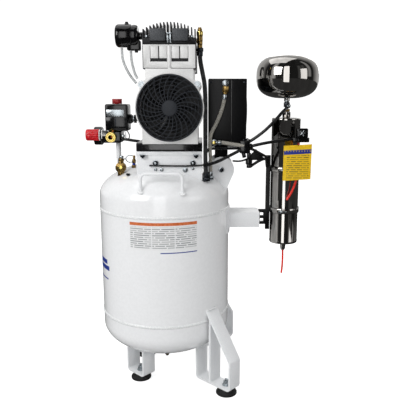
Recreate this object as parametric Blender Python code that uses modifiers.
"""Vertical tank air compressor: an oil-free twin pump on a 40 litre upright receiver, with a
fan cooler box and a desiccant dryer with its purge bulb hung on the right.

Lengths are in millimetres and become metres where an object is made. X runs to the right, Y away
from the front and Z up. All coordinates are measured from the tank's own axis at floor level,
which the empty tank_axis carries to its place under the middle of the whole machine.
"""

import math

import bmesh
import bpy
from mathutils import Matrix, Vector

MM = 0.001
GAP = 0.3                     # clearance kept between touching pieces
TANK_X = -100.0               # tank axis, from the middle of the whole machine

# Receiver
TANK_R = 171.0
TANK_WALL = 2.5
LOWER_SEAM, UPPER_SEAM = 187.0, 466.0
LOWER_RIM, UPPER_RIM = 153.0, 500.0      # where the straight wall ends and the heads curve
HEAD_DEPTH = 83.0
TANK_SIDES = 40

# Feet
STRAP_T, STRAP_W = 5.0, 40.0
STRAP_LOW = 17.0
PAD_R, PAD_H = 27.0, STRAP_LOW - GAP
FOOT_RADIUS, FOOT_WIDTH, FOOT_AZIMUTH = 96.0, 68.0, 134.0
LEG_IN, LEG_OUT, LEG_BEND_Z, LEG_TOP_R, LEG_TOP_Z = 134.5, 247.5, 96.0, 171.0, 212.0
LEG_POST, LEG_AZIMUTH, LEG_PAD_R = 181.0, 43.0, 222.0

# Platform and pump
PLATFORM_X = (-61.0, 101.0)
PLATFORM_Y, PLATFORM_Z, SHEET = 100.0, 619.0, 3.0
RAIL_TOP = 640.0
PUMP_X, SHAFT_Z = 25.0, 724.6
CASE_R, CASE_BORE, CASE_HALF = 76.0, 70.0, 66.0
CASE_FRONT, CASE_BACK = 137.0, 45.0      # distances from the pump's middle plane
EAR_OFFSET, EAR_R = (65.0, 54.0), 9.5
NECK_HALF = 56.0
CYLINDER_Z = (815.0, 869.0)
CYLINDER_HALF, CYLINDER_Y = 60.5, (60.0, 130.0)
BORE_R, STROKE, CRANK_Y = 23.0, 16.0, 95.0
HEAD_PLATE_TOP, FIN_TOP, FIN_DROP = 885.0, 920.0, 16.0
FINS, FIN_PITCH, FIN_T = 16, 8.0, 3.0
GUARD_Y, GUARD_R, GUARD_HUB = 150.0, 78.0, 18.6

# Control group on the left
SWITCH_X, SWITCH_TOP = -119.5, 733.0
OUTLET = (-132.0, -22.0 - GAP, 650.0)
REGULATOR_Y, REGULATOR_Z = -10.0, 654.0

# Cooler and dryer on the right
COOLER_LOW, COOLER_HIGH = (117.0, -60.0, 627.0), (212.0, 60.0, 794.0)
LUG_Y, LUG_HOLE, LUG_R = 50.0, (150.0, 568.0), 33.0
CANISTER_X, CANISTER_R = 321.0, 37.5
CANISTER_Z = (364.0, 697.0)
BULB_R, BULB_Z = 80.0, (747.0, 857.0)
TAG_PIVOT = (343.0, -65.5, 636.0)

# Free tubes and fixed hoses, each as its hand-laid route and its radius
DRAIN_TUBE = [(321, 0, 340.7), (321.4, 0, 325), (321.4, 0, 308), (320.6, 0, 291), (319, 0, 274)]
PURGE_TUBE = [(346, -50, 637.7), (348, -51, 610), (348.5, -51, 580), (345, -50, 552),
              (340, -48, 528), (332, -46.5, 507), (321, -45.5, 488)]
HOSES = {
    "discharge_hose": ("black_rubber", 5.5, [
        (96, -95, 856), (97, -95, 835), (102, -95, 808), (107, -96, 780), (109, -98, 740),
        (109, -100, 690), (109, -100, 640), (109, -99, 600), (110, -97, 566), (111, -95, 551)]),
    "cooler_hose_upper": ("steel_braid", 4.5, [
        (157, -67, 752), (154, -69, 735), (147, -73, 712), (136, -79, 686), (124, -84, 663),
        (120, -85, 640), (121, -83, 612), (122, -80, 582), (122, -78, 552)]),
    "cooler_hose_lower": ("steel_braid", 5.0, [
        (141, -68, 640), (158, -68.5, 637.5), (176, -68, 634.5), (192, -67, 632), (206, -65.5, 631)]),
    "dryer_top_tube": ("black_tube", 4.0, [
        (214, -60, 637), (232, -63, 648), (258, -65, 668), (283, -60, 692), (301, -45, 710),
        (313, -27, 719), (320, -10.6, 721)]),
    "dryer_inlet_tube": ("black_tube", 4.0, [
        (214, -60, 626), (238, -62, 632), (268, -61, 638), (298, -57, 642), (328.8, -52, 646)]),
    "breather_tube_left": ("clear_tube", 3.0, [
        (-87, -110, 863), (-86, -110, 840), (-79, -109, 818), (-68, -107, 798), (-55.5, -105, 782)]),
    "breather_tube_right": ("clear_tube", 3.0, [
        (-66, -110, 856), (-65, -110, 836), (-61, -111, 816), (-57, -112, 803), (-52, -113, 793)]),
}

PAINTS = {
    # name: (red, green, blue), roughness, metallic
    "white_enamel": ((0.80, 0.81, 0.82), 0.25, 0.0),
    "white_powder": ((0.76, 0.77, 0.78), 0.45, 0.0),
    "cast_aluminium": ((0.66, 0.65, 0.63), 0.5, 0.6),
    "dark_casting": ((0.03, 0.03, 0.035), 0.45, 0.3),
    "lamination_steel": ((0.25, 0.25, 0.26), 0.5, 0.8),
    "bright_steel": ((0.55, 0.55, 0.56), 0.2, 1.0),
    "polished_stainless": ((0.45, 0.44, 0.42), 0.08, 1.0),
    "steel_braid": ((0.40, 0.39, 0.36), 0.35, 1.0),
    "brass": ((0.55, 0.38, 0.12), 0.3, 1.0),
    "black_plastic": ((0.012, 0.012, 0.014), 0.3, 0.0),
    "black_steel": ((0.015, 0.015, 0.016), 0.4, 0.2),
    "black_rubber": ((0.015, 0.015, 0.015), 0.7, 0.0),
    "black_tube": ((0.012, 0.012, 0.012), 0.35, 0.0),
    "grille_plastic": ((0.012, 0.014, 0.022), 0.4, 0.0),
    "knob_red": ((0.55, 0.01, 0.03), 0.3, 0.0),
    "switch_red": ((0.28, 0.004, 0.008), 0.35, 0.0),
    "tube_red": ((0.75, 0.02, 0.015), 0.3, 0.0),
    "clear_tube": ((0.75, 0.76, 0.76), 0.15, 0.0),
    "tag_yellow": ((0.65, 0.42, 0.01), 0.4, 0.0),
}


# ---------------------------------------------------------------- scene and materials

def empty_scene():
    """Removes every object, so that the script can be run again in the same file."""
    for thing in list(bpy.data.objects):
        bpy.data.objects.remove(thing, do_unlink=True)


def collection(name):
    made = bpy.data.collections.new(name)
    bpy.context.scene.collection.children.link(made)
    return made


def paint(name):
    """The Principled material of one finish, made at its first use."""
    if name in bpy.data.materials:
        return bpy.data.materials[name]
    colour, roughness, metallic = PAINTS[name]
    material = bpy.data.materials.new(name)
    material.use_nodes = True
    shader = material.node_tree.nodes["Principled BSDF"]
    shader.inputs["Base Color"].default_value = (*colour, 1.0)
    shader.inputs["Roughness"].default_value = roughness
    shader.inputs["Metallic"].default_value = metallic
    return material


def scaled(point):
    return Vector(point) * MM


# ---------------------------------------------------------------- shapes

def add(name, data, material, at=(0, 0, 0), turn=(0, 0, 0)):
    """Links a mesh or curve as a part under the tank's axis; material None makes it a cutter."""
    made = bpy.data.objects.new(name, data)
    made.location = scaled(at)
    made.rotation_euler = [math.radians(angle) for angle in turn]
    made.parent = AXIS
    if material is None:
        CUTTERS.objects.link(made)
        made.hide_render = True
        made.display_type = "WIRE"
    else:
        PARTS.objects.link(made)
        data.materials.append(paint(material))
    return made


def mesh_from(name, build, smooth=True):
    """A mesh filled by a bmesh builder, its round sides smooth and its corners sharp."""
    shape = bmesh.new()
    build(shape)
    mesh = bpy.data.meshes.new(name)
    shape.to_mesh(mesh)
    shape.free()
    if smooth:
        mesh.shade_smooth()
        mesh.set_sharp_from_angle(angle=math.radians(40))
    return mesh


def box(name, low, high, material, bevel=0.0):
    """A box between two corners, with an optional rounded edge."""
    low, high = Vector(low), Vector(high)
    size = Matrix.Diagonal((*((high - low) * MM), 1.0))
    mesh = mesh_from(name, lambda shape: bmesh.ops.create_cube(shape, size=1.0, matrix=size), False)
    made = add(name, mesh, material, (low + high) / 2)
    if bevel:
        rounding = made.modifiers.new("rounding", "BEVEL")
        rounding.width = bevel * MM
        rounding.segments = 2
        rounding.limit_method = "ANGLE"
    return made


TURNS = {"+Z": (0, 0, 0), "+X": (0, 90, 0), "-X": (0, -90, 0), "-Y": (90, 0, 0), "+Y": (-90, 0, 0)}


def cylinder(name, start, radius, length, axis, material, sides=24):
    """A cylinder that begins at a point and runs for its length along an axis."""
    def build(shape):
        bmesh.ops.create_cone(shape, cap_ends=True, segments=sides, radius1=radius * MM,
                              radius2=radius * MM, depth=length * MM,
                              matrix=Matrix.Translation((0, 0, length * MM / 2)))
    return add(name, mesh_from(name, build), material, start, TURNS[axis])


def turned(name, profile, material, at=(0, 0, 0), axis="+Z", sides=32, ring=False):
    """A turned piece: (radius, height) points down the outer side, swept by a Screw modifier.

    A ring's profile is a closed loop that comes back up its bore.
    """
    mesh = bpy.data.meshes.new(name)
    corners = [(radius * MM, 0, height * MM) for radius, height in profile]
    edges = [(i, i + 1) for i in range(len(profile) - 1)]
    if ring:
        edges.append((len(profile) - 1, 0))
    mesh.from_pydata(corners, edges, [])
    made = add(name, mesh, material, at, TURNS[axis])
    sweep = made.modifiers.new("sweep", "SCREW")
    sweep.steps = sweep.render_steps = sides
    sweep.use_merge_vertices = True
    sweep.merge_threshold = 0.00001
    return made


def as_mesh(made):
    """The curve's evaluated mesh with its caps welded, in an object of the same name and place."""
    bpy.context.view_layer.update()
    evaluated = made.evaluated_get(bpy.context.evaluated_depsgraph_get())
    mesh = bpy.data.meshes.new_from_object(evaluated)
    shape = bmesh.new()
    shape.from_mesh(mesh)
    bmesh.ops.remove_doubles(shape, verts=shape.verts, dist=0.00001)
    shape.to_mesh(mesh)
    shape.free()
    name, place, home = made.name, made.matrix_world.copy(), made.users_collection[0]
    bpy.data.objects.remove(made, do_unlink=True)
    solid = bpy.data.objects.new(name, mesh)
    home.objects.link(solid)
    solid.parent = AXIS
    solid.matrix_parent_inverse = AXIS.matrix_world.inverted()
    solid.matrix_world = place
    return solid


def plate(name, loops, thickness, material, at=(0, 0, 0), azimuth=0.0):
    """A flat outline, its first loop outside and the rest holes, standing upright.

    The outline's own axes are the horizontal direction at this azimuth and Z; the thickness is
    shared equally by both sides of the point.
    """
    curve = bpy.data.curves.new(name, "CURVE")
    curve.dimensions = "2D"
    curve.fill_mode = "BOTH"
    curve.extrude = thickness * MM / 2
    for loop in loops:
        spline = curve.splines.new("POLY")
        spline.points.add(len(loop) - 1)
        for point, (across, up) in zip(spline.points, loop):
            point.co = (across * MM, up * MM, 0, 1)
        spline.use_cyclic_u = True
    return as_mesh(add(name, curve, material, at, (90, 0, azimuth)))


def smooth_route(points, spacing):
    """Points every spacing or so along the Catmull-Rom curve through a route's own points."""
    points = [Vector(point) for point in points]
    ends = [points[0] * 2 - points[1], *points, points[-1] * 2 - points[-2]]
    route = []
    for before, start, finish, after in zip(ends, ends[1:], ends[2:], ends[3:]):
        steps = max(1, round((finish - start).length / spacing))
        for step in range(steps):
            t = step / steps
            route.append(0.5 * (2 * start + (finish - before) * t
                                + (2 * before - 5 * start + 4 * finish - after) * t ** 2
                                + (3 * start - before - 3 * finish + after) * t ** 3))
    return [*route, points[-1]]


def tube(name, points, radius, material, closed=False):
    """A round tube, or a bent rod, along points that are already smooth."""
    curve = bpy.data.curves.new(name, "CURVE")
    curve.dimensions = "3D"
    curve.bevel_depth = radius * MM
    curve.bevel_resolution = 2
    curve.use_fill_caps = True
    spline = curve.splines.new("POLY")
    spline.points.add(len(points) - 1)
    for point, place in zip(spline.points, points):
        point.co = (*scaled(place), 1)
    spline.use_cyclic_u = closed
    return add(name, curve, material)


def arc(centre, radius, start, end, steps):
    """Points of an arc about a centre, its angles in degrees."""
    angles = [math.radians(start + (end - start) * i / steps) for i in range(steps + 1)]
    return [(centre[0] + radius * math.cos(a), centre[1] + radius * math.sin(a)) for a in angles]


def mirrored(half, about=0.0):
    """A closed outline from its right half, which runs from bottom to top."""
    return half + [(2 * about - x, z) for x, z in reversed(half)]


def bent(path, radius, steps=3):
    """A path whose inner corners are replaced by arcs, as a bar bent round a former."""
    path = [Vector(point) for point in path]
    out = [path[0]]
    for before, corner, after in zip(path, path[1:], path[2:]):
        back, ahead = (before - corner).normalized(), (after - corner).normalized()
        half_angle = back.angle(ahead) / 2
        centre = corner + (back + ahead).normalized() * radius / math.sin(half_angle)
        first = (corner + back * radius / math.tan(half_angle) - centre).normalized()
        last = (corner + ahead * radius / math.tan(half_angle) - centre).normalized()
        for i in range(steps + 1):
            out.append(centre + first.slerp(last, i / steps) * radius)
    return [*out, path[-1]]


def strap(path, thickness):
    """The outline of a flat bar whose middle line is this path."""
    left, right = [], []
    for i, point in enumerate(path):
        ahead = path[min(i + 1, len(path) - 1)] - path[max(i - 1, 0)]
        side = Vector((-ahead.y, ahead.x)).normalized() * thickness / 2
        left.append(tuple(point + side))
        right.append(tuple(point - side))
    return left + right[::-1]


def combine(target, other, operation):
    """Joins or cuts a part with another object, which becomes a hidden cutter."""
    if other.users_collection[0] is not CUTTERS:
        PARTS.objects.unlink(other)
        CUTTERS.objects.link(other)
        other.hide_render = True
        other.display_type = "WIRE"
    boolean = target.modifiers.new(other.name, "BOOLEAN")
    boolean.operation = operation
    boolean.object = other
    return target


def cut(target, *others):
    for other in others:
        combine(target, other, "DIFFERENCE")
    return target


def weld(target, *others):
    for other in others:
        combine(target, other, "UNION")
    return target


def polar(radius, azimuth, z):
    angle = math.radians(azimuth)
    return (radius * math.cos(angle), radius * math.sin(angle), z)


# ---------------------------------------------------------------- receiver

def head_profile(radius, depth, steps=6):
    """Quarter ellipse of a tank head, from its crown out to its rim, as (radius, rise)."""
    angles = [math.radians(90 - 90 * i / steps) for i in range(steps + 1)]
    return [(radius * math.cos(a), depth * math.sin(a)) for a in angles]


def tank():
    inner = TANK_R - TANK_WALL
    outside = head_profile(TANK_R, HEAD_DEPTH)
    inside = head_profile(inner, HEAD_DEPTH - TANK_WALL)
    crown = ([(r, UPPER_RIM + rise) for r, rise in outside] + [(TANK_R, UPPER_SEAM + GAP / 2)]
             + [(inner, UPPER_SEAM + GAP / 2)] + [(r, UPPER_RIM + rise) for r, rise in reversed(inside)])
    turned("tank_upper_head", crown, "white_enamel", sides=TANK_SIDES)
    low, high = LOWER_SEAM + GAP / 2, UPPER_SEAM - GAP / 2
    turned("tank_barrel", [(TANK_R, high), (TANK_R, low), (inner, low), (inner, high)],
           "white_enamel", sides=TANK_SIDES, ring=True)
    base = ([(r, LOWER_RIM - rise) for r, rise in inside] + [(inner, LOWER_SEAM - GAP / 2)]
            + [(TANK_R, LOWER_SEAM - GAP / 2)] + [(r, LOWER_RIM - rise) for r, rise in reversed(outside)])
    turned("tank_lower_head", base, "white_enamel", sides=TANK_SIDES)
    turned("drain_plug", [(0, 69.7), (11, 69.7), (11, 60), (6.5, 58), (6.5, 31), (4, 29), (0, 29)],
           "brass", sides=12)


def tank_envelope():
    """The tank's outer surface with the working gap: it trims whatever is welded to the tank."""
    shell = head_profile(TANK_R + GAP, HEAD_DEPTH + GAP)
    profile = ([(r, UPPER_RIM + rise) for r, rise in shell]
               + [(r, LOWER_RIM - rise) for r, rise in reversed(shell)])
    return turned("tank_envelope", profile, None, sides=TANK_SIDES)


# ---------------------------------------------------------------- feet

def feet(envelope):
    half = (FOOT_WIDTH - STRAP_T) / 2
    low = STRAP_LOW + STRAP_T / 2
    stirrup = strap(bent([(-half, 110), (-half, low), (half, low), (half, 110)], 7), STRAP_T)
    leg_path = [(LEG_IN, 125), (LEG_IN, low), (LEG_OUT, low), (LEG_OUT, LEG_BEND_Z),
                (LEG_TOP_R - 8, LEG_TOP_Z + 11)]
    leg = strap(bent(leg_path, 8), STRAP_T)
    pad = [(0, PAD_H), (17, PAD_H), (21, PAD_H - 5), (PAD_R, 5), (PAD_R, 1), (PAD_R - 1, 0), (0, 0)]
    for side, place in ((-1, "front"), (1, "rear")):
        foot = plate(f"{place}_left_foot", [stirrup], STRAP_W, "white_powder",
                     polar(FOOT_RADIUS, side * FOOT_AZIMUTH, 0), side * FOOT_AZIMUTH + 90)
        cut(foot, envelope)
        frame = plate(f"{place}_right_leg", [leg], STRAP_W, "white_powder", azimuth=side * LEG_AZIMUTH)
        cut(frame, envelope)
        slope = (LEG_TOP_Z + 11 - LEG_BEND_Z) / (LEG_OUT - LEG_TOP_R + 8)
        tips = [(LEG_POST + edge, LEG_BEND_Z + slope * (LEG_OUT - LEG_POST - edge)) for edge in (3, -3)]
        foot_of_post = STRAP_LOW + STRAP_T / 2
        post = plate(f"{place}_right_post", [[(LEG_POST - 3, foot_of_post), (LEG_POST + 3, foot_of_post), *tips]],
                     STRAP_W - 1, "white_powder", azimuth=side * LEG_AZIMUTH)
        weld(frame, post)
        turned(f"rubber_pad_{place}_left", pad, "black_rubber",
               polar(FOOT_RADIUS, side * FOOT_AZIMUTH, 0), sides=24)
        turned(f"rubber_pad_{place}_right", pad, "black_rubber",
               polar(LEG_PAD_R, side * LEG_AZIMUTH, 0), sides=24)


# ---------------------------------------------------------------- fittings welded on the tank

def carry_handle(envelope):
    left, right, front, low, high = -46.0, 54.0, -155.0, 516.0, 571.0
    path = [(left, front, low), (left, front, high), (right, front, high), (right, front, low)]
    bar = as_mesh(tube("carry_handle", bent(path, 12), 4.0, "white_powder"))
    cut(bar, envelope)


def lugs(envelope):
    outline = [(96, 520), (158, 505), *arc(LUG_HOLE, LUG_R, -28, 150, 10), (104, 556)]
    bolt_hole = arc(LUG_HOLE, 4.5, 0, 330, 11)
    for side, place in ((-1, "front"), (1, "rear")):
        ear = plate(f"{place}_lug", [outline, bolt_hole], 5.0, "white_powder", (0, side * LUG_Y, 0))
        cut(ear, envelope)


def platform(envelope):
    deck = [(-PLATFORM_Y, 540), (-PLATFORM_Y, PLATFORM_Z), (PLATFORM_Y, PLATFORM_Z), (PLATFORM_Y, 540),
            (PLATFORM_Y - SHEET, 540), (PLATFORM_Y - SHEET, PLATFORM_Z - SHEET),
            (SHEET - PLATFORM_Y, PLATFORM_Z - SHEET), (SHEET - PLATFORM_Y, 540)]
    width = PLATFORM_X[1] - PLATFORM_X[0]
    middle = sum(PLATFORM_X) / 2
    cut(plate("pump_platform", [deck], width, "white_powder", (middle, 0, 0), 90), envelope)

    rail = [(-PLATFORM_Y, PLATFORM_Z + GAP), (-PLATFORM_Y, RAIL_TOP), (PLATFORM_Y, RAIL_TOP),
            (PLATFORM_Y, PLATFORM_Z + GAP), (PLATFORM_Y - 14, PLATFORM_Z + GAP),
            (PLATFORM_Y - 14, RAIL_TOP - 6), (14 - PLATFORM_Y, RAIL_TOP - 6),
            (14 - PLATFORM_Y, PLATFORM_Z + GAP)]
    plate("isolator_rail", [rail], width, "black_steel", (middle, 0, 0), 90)


# ---------------------------------------------------------------- pump

def crankcase(side, place):
    """One end casting: a cup open to the fan, bored above for the piston rod."""
    foot_z = RAIL_TOP + GAP - SHAFT_Z
    neck_z = CYLINDER_Z[0] - GAP - SHAFT_Z
    meet = math.degrees(math.acos(CASE_HALF / CASE_R))
    half = [(CASE_HALF, foot_z), *arc((0, 0), CASE_R, -meet, 26, 6),
            *arc(EAR_OFFSET, EAR_R, -50, 110, 6), (NECK_HALF, 66), (NECK_HALF, neck_z)]
    case = plate(f"crankcase_{place}", [mirrored(half)], CASE_FRONT - CASE_BACK, "cast_aluminium",
                 (PUMP_X, side * (CASE_FRONT + CASE_BACK) / 2, SHAFT_Z))
    outward = "-Y" if side < 0 else "+Y"
    cavity = cylinder(f"{place}_cavity", (PUMP_X, side * (CASE_BACK + 4), SHAFT_Z), CASE_BORE,
                      CASE_FRONT - CASE_BACK, outward, None, 32)
    shaft_hole = cylinder(f"{place}_shaft_hole", (PUMP_X, side * (CASE_BACK - 1), SHAFT_Z), 9.0, 10.0,
                          outward, None, 16)
    rod_hole = cylinder(f"{place}_rod_hole", (PUMP_X, side * CRANK_Y, SHAFT_Z + 40), BORE_R + 1,
                        70.0, "+Z", None, 32)
    return cut(case, cavity, shaft_hole, rod_hole)


def cylinder_block(side, place):
    """The cylinder: a block with the bore, and two windows of cooling slots in its face."""
    low_y, high_y = sorted((side * CYLINDER_Y[0], side * CYLINDER_Y[1]))
    block = box(f"cylinder_{place}", (PUMP_X - CYLINDER_HALF, low_y, CYLINDER_Z[0]),
                (PUMP_X + CYLINDER_HALF, high_y, CYLINDER_Z[1]), "cast_aluminium")
    bore = cylinder(f"{place}_bore", (PUMP_X, side * CRANK_Y, CYLINDER_Z[0] - 5), BORE_R, 70.0, "+Z", None, 32)
    windows = []
    for number, hand in enumerate((-1, 1)):
        near, far = sorted((hand * 4.5, hand * 44.5))
        face = side * (CYLINDER_Y[1] + 1)
        floor = side * (CYLINDER_Y[1] - 9)
        windows.append(box(f"{place}_window_{number}", (PUMP_X + near, min(face, floor), 831),
                           (PUMP_X + far, max(face, floor), 866), None))
    return cut(block, bore, *windows)


def cylinder_head(side, place):
    """The head: a plate under a comb of fins whose tips follow an arch, and two valve blocks."""
    half = CYLINDER_HALF + 2
    base_z, root_z = CYLINDER_Z[1] + GAP, HEAD_PLATE_TOP
    comb = [(half, base_z), (half, root_z)]
    for i in reversed(range(FINS)):
        x = (i - (FINS - 1) / 2) * FIN_PITCH
        tip = FIN_TOP - FIN_DROP * (x / CYLINDER_HALF) ** 2
        comb += [(x + FIN_T / 2, root_z), (x + FIN_T / 2, tip), (x - FIN_T / 2, tip), (x - FIN_T / 2, root_z)]
    comb += [(-half, root_z), (-half, base_z)]
    fins = plate(f"head_{place}", [comb], 64.0, "dark_casting", (PUMP_X, side * 93.0, 0))
    blocks = []
    for number, hand in enumerate((-1, 1)):
        near, far = sorted((hand * 8.7, hand * 43.7))
        inner, outer = side * 118.0, side * 134.0
        blocks.append(box(f"{place}_valve_block_{number}", (PUMP_X + near, min(inner, outer), base_z + 6),
                          (PUMP_X + far, max(inner, outer), 904), "dark_casting"))
    return weld(fins, *blocks)


def fan_guard(side, place):
    """The round cover of the fan: a hub, two rings of slots and a plain rim."""
    loops = [arc((0, 0), GUARD_R, 0, 345, 23)]
    sectors = 8
    for inner, outer in ((GUARD_HUB + 3.4, 44.0), (48.0, 71.0)):
        for i in range(sectors):
            start = i * 360 / sectors
            stop = start + 360 / sectors - 130 / inner
            loops.append(arc((0, 0), outer, start, stop, 3) + arc((0, 0), inner, stop, start, 2))
    depth = GUARD_Y - CASE_FRONT - GAP
    centre = side * (GUARD_Y - depth / 2)
    return plate(f"fan_guard_{place}", loops, depth, "grille_plastic", (PUMP_X, centre, SHAFT_Z))


def fan(side, place):
    """The cooling fan: nine paddles on a hub that grips the shaft."""
    paddles = []
    for i in range(9):
        start = i * 40
        paddles += arc((0, 0), 17, start, start + 14, 1) + arc((0, 0), 64, start + 18, start + 28, 2)
    hub_hole = arc((0, 0), 7.0 + GAP, 0, 345, 23)
    return plate(f"fan_{place}", [paddles, hub_hole], 14.0, "black_plastic", (PUMP_X, side * 127.0, SHAFT_Z))


def piston(side, place):
    """Piston, rod and strap ring: the ring clears the crank pin all the way round."""
    top = CYLINDER_Z[1] - 3 - (0 if side < 0 else STROKE)
    ring_z = SHAFT_Z - side * STROKE / 2
    crown = cylinder(f"piston_{place}", (PUMP_X, side * CRANK_Y, top - 14), BORE_R - 0.4, 14.0, "+Z",
                     "bright_steel", 32)
    rod = box(f"{place}_rod", (PUMP_X - 7, side * CRANK_Y - 4, ring_z + 35),
              (PUMP_X + 7, side * CRANK_Y + 4, top - 7), "bright_steel")
    loop = turned(f"{place}_rod_ring", [(38, 7), (38, -7), (33, -7), (33, 7)], "bright_steel",
                  (PUMP_X, side * CRANK_Y, ring_z), "+Y", 32, ring=True)
    return weld(crown, rod, loop)


def rotor():
    """Motor shaft with its rotor stack and the two crank pins, half a turn apart."""
    half = [(0, 133), (7, 133), (7, 35), (39, 35), (39, -35), (7, -35), (7, -133), (0, -133)]
    shaft = turned("rotor_shaft", half, "bright_steel", (PUMP_X, 0, SHAFT_Z), "+Y", 24)
    pins = []
    for side, place in ((-1, "front"), (1, "rear")):
        pins.append(cylinder(f"{place}_crank_pin", (PUMP_X, side * CRANK_Y - 7, SHAFT_Z - side * STROKE / 2),
                             15.0, 14.0, "+Y", "bright_steel", 24))
    return weld(shaft, *pins)


def pump():
    for side, place in ((-1, "front"), (1, "rear")):
        crankcase(side, place)
        cylinder_block(side, place)
        cylinder_head(side, place)
        fan_guard(side, place)
        fan(side, place)
        piston(side, place)
    rotor()
    reach = CASE_BACK - GAP
    turned("stator", [(74, reach), (74, -reach), (41, -reach), (41, reach)], "lamination_steel",
           (PUMP_X, 0, SHAFT_Z), "+Y", 24, ring=True)


def pump_fittings():
    head_z = 890.0
    body = [(0, 54), (20, 54), (24, 50), (26, 44), (26, 6), (24, 2), (20, 0), (0, 0)]
    can = turned("air_filter", body, "black_plastic", (-101, -110, head_z), "+X", 24)
    neck = cylinder("filter_neck", (-50, -110, head_z), 9.0, 12.2, "+X", "black_plastic", 16)
    adaptor = box("filter_adaptor", (-74, -121, 856.5), (-42, -99, 880), "black_plastic")
    weld(can, neck, adaptor)

    riser = turned("discharge_elbow", [(0, 912), (5, 912), (8, 908), (8, 886), (6.5, 884), (6.5, 868), (9, 867),
                                       (9, 856.3), (0, 856.3)], "brass", (96, -95, 0), sides=12)
    port = cylinder("discharge_port", (PUMP_X + CYLINDER_HALF + 2 + GAP, -95, 877), 3.5, 8, "+X", "brass", 12)
    weld(riser, port)


# ---------------------------------------------------------------- control group

def pressure_switch():
    top = SWITCH_TOP
    case = box("pressure_switch", (-147, -32, 665), (-89, 32, top), "black_plastic", 4.0)
    gland = cylinder("cable_gland", (-92, 0, 695), 13.0, 24.0, "+X", "black_plastic", 16)
    stem_hole = cylinder("switch_stem_hole", (SWITCH_X, 0, top - 26), 4.6, 40.0, "+Z", None, 16)
    cut(weld(case, gland), stem_hole)
    turned("switch_knob", [(0, 13), (11.5, 13), (12.5, 11.5), (12.5, GAP), (4, GAP), (4, -20), (0, -20)],
           "switch_red", (SWITCH_X, 0, top), sides=24)

    block = box("manifold", (-160, -22, 634), (-109, 38, 665 - GAP), "black_plastic", 4.0)
    bonnet = cylinder("regulator_bonnet", (-158, REGULATOR_Y, REGULATOR_Z), 13.5, 8.0, "-X", "black_plastic", 20)
    weld(block, bonnet)


def regulator():
    face = -166.0
    cylinder("regulator_spindle", (face - GAP, REGULATOR_Y, REGULATOR_Z), 4.0, 28.0, "-X", "bright_steel", 16)
    knob = [(0, 34), (13, 34), (15, 32), (15, 0), (4.5, 0), (4.5, 31), (0, 31)]
    turned("regulator_knob", knob, "knob_red", (face - 1, REGULATOR_Y, REGULATOR_Z), "-X", 20)
    dial = [(0, 19), (20.5, 19), (20.5, 22), (24, 22), (24, 2), (6, 0), (6, -4), (0, -4)]
    turned("gauge_case", dial, "black_plastic", (-164.5, 33, 649), "-X", 24)


def outlet_coupler():
    socket = [(5.7, 25.7), (9, 25.7), (9, 3), (12, 3), (12, 0), (0, 0)]
    socket = [(0, 4), (5.7, 4), *socket]
    turned("outlet_coupler", socket, "brass", OUTLET, "-Y", 16)
    turned("coupler_sleeve", [(12.8, 25), (12.8, 8), (9.5, 8), (9.5, 25)], "brass", OUTLET, "-Y", 16, ring=True)


def support_and_relief(envelope):
    pipe = cylinder("support_pipe", (SWITCH_X, 0, 545), 6.5, 634 - GAP - 545, "+Z", "white_powder", 16)
    cut(pipe, envelope)
    body = [(0, 607), (6, 607), (8, 604), (8, 590), (13, 586), (13, 566), (8, 562), (8, 545), (0, 545)]
    cut(turned("safety_valve", body, "brass", (-106, -60, 0), sides=12), envelope)

    ring_path = [(-81.5 + 11 * math.cos(a), -60, 597 + 9 * math.sin(a))
                 for a in (2 * math.pi * i / 12 for i in range(12))]
    ring = as_mesh(tube("safety_ring", ring_path, 1.3, "bright_steel", closed=True))
    stem = cylinder("safety_stem", (-98 + GAP, -60, 597), 2.0, 6.0, "+X", "bright_steel", 8)
    weld(ring, stem)


# ---------------------------------------------------------------- cooler and dryer

def cooler():
    wall = 2.0
    inner_low = [value + wall for value in COOLER_LOW]
    inner_high = [value - wall for value in COOLER_HIGH]
    case = box("cooler_box", COOLER_LOW, COOLER_HIGH, "black_steel")
    brackets = []
    for side, place in ((-1, "front"), (1, "rear")):
        y = side * (LUG_Y - 2.5 - GAP - 2)
        brackets.append(box(f"{place}_cooler_bracket", (135, y - 2, 556), (166, y + 2, 628), "black_steel"))
    cavity = box("cooler_cavity", inner_low, inner_high, None)
    cable_hole = cylinder("cooler_cable_hole", (165, 50, 650), 7.0, 20.0, "+Y", None, 12)
    cut(weld(case, *brackets), cavity, cable_hole)


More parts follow.
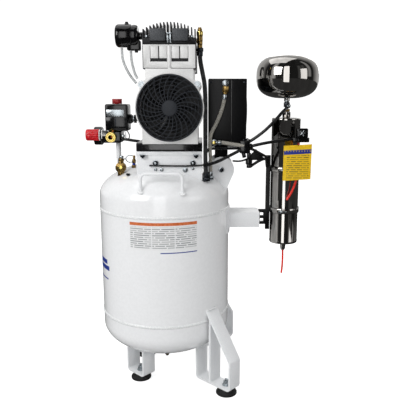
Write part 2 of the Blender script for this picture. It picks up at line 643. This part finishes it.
def dryer(envelope):
    arm = [(-35, 412), (-35, 452), (35, 452), (35, 412), (32, 412), (32, 449), (-32, 449), (-32, 412)]
    cut(plate("dryer_arm", [arm], 92.0, "white_powder", (206, 0, 0), 90), envelope)

    bracket = [(252 + GAP, 414), (271, 414), (271, 400), (282, 400), (282, 600), (271, 600), (271, 454),
               (252 + GAP, 454)]
    windows = [[(256, low), (266, low), (266, low + 9), (256, low + 9)] for low in (421, 437)]
    strip = plate("dryer_clamp", [bracket, *windows], 12.0, "black_steel")
    bands = []
    for number, z in enumerate((455.0, 565.0)):
        inner = CANISTER_R + GAP
        band = [(inner + 2, z + 7), (inner + 2, z - 7), (inner, z - 7), (inner, z + 7)]
        bands.append(turned(f"clamp_band_{number}", band, "bright_steel", (CANISTER_X, 0, 0), sides=24, ring=True))
    weld(strip, *bands)

    low, high = CANISTER_Z
    skin = [(3, 713), (10, 713), (10, high), (CANISTER_R - 2, high), (CANISTER_R, high - 2),
            (CANISTER_R, low + 2), (CANISTER_R - 2, low), (8, low - 2), (7, 346), (5, 341), (2.2, 341),
            (2.2, low), (CANISTER_R - 2, low + 3), (CANISTER_R - 2, high - 3), (3, high - 3)]
    turned("dryer_canister", skin, "polished_stainless", (CANISTER_X, 0, 0), sides=24, ring=True)

    middle, height = sum(BULB_Z) / 2, (BULB_Z[1] - BULB_Z[0]) / 2
    outside, inside = bulb_arc(BULB_R, height, 10), bulb_arc(BULB_R - 1.5, height - 1.5, 10)
    outside = [(r, middle + z) for r, z in outside]
    inside = [(r, middle + z) for r, z in inside]
    stem = [(8, BULB_Z[0] + 1), (8, 728), (9.5, 726), (9.5, 716), (7, 713 + GAP), (3, 713 + GAP),
            (3, BULB_Z[0] + 4)]
    skin = outside[:-1] + stem + inside[-2::-1]
    turned("purge_bulb", skin, "polished_stainless", (CANISTER_X, 0, 0), sides=24)

    box("valve_block", (330, -60, 638), (372, -40, 673), "black_plastic", 2.0)


def bulb_arc(radius, height, steps):
    """A squashed sphere's outline from its top pole to its bottom pole, its sides kept upright."""
    points = []
    for i in range(steps + 1):
        a = math.radians(90 - 180 * i / steps)
        full, flat = abs(math.cos(a)) ** 0.72, abs(math.sin(a)) ** 0.9
        points.append((radius * full if 0 < i < steps else 0.0, math.copysign(height * flat, math.sin(a))))
    return points


def tag():
    """The maker's card, hung by its top edge in front of the canister."""
    pivot_x, _, pivot_z = TAG_PIVOT
    outline = [(306 - pivot_x, 541 - pivot_z), (377 - pivot_x, 545 - pivot_z), (378 - pivot_x, 634 - pivot_z),
               (307 - pivot_x, 630 - pivot_z)]
    plate("tag", [outline], 0.8, "tag_yellow", TAG_PIVOT)


def hoses():
    for name, (material, radius, route) in HOSES.items():
        tube(name, smooth_route(route, radius * 5), radius, material)
    tube("drain_tube", smooth_route(DRAIN_TUBE, 8), 2.6, "tube_red")
    tube("purge_tube", smooth_route(PURGE_TUBE, 14), 2.9, "tube_red")


empty_scene()
PARTS = collection("vertical_tank_compressor")
CUTTERS = collection("cutters")
AXIS = bpy.data.objects.new("tank_axis", None)
AXIS.location = scaled((TANK_X, 0, 0))
PARTS.objects.link(AXIS)

ENVELOPE = tank_envelope()
tank()
feet(ENVELOPE)
carry_handle(ENVELOPE)
lugs(ENVELOPE)
platform(ENVELOPE)
pump()
pump_fittings()
pressure_switch()
regulator()
outlet_coupler()
support_and_relief(ENVELOPE)
cooler()
dryer(ENVELOPE)
tag()
hoses()
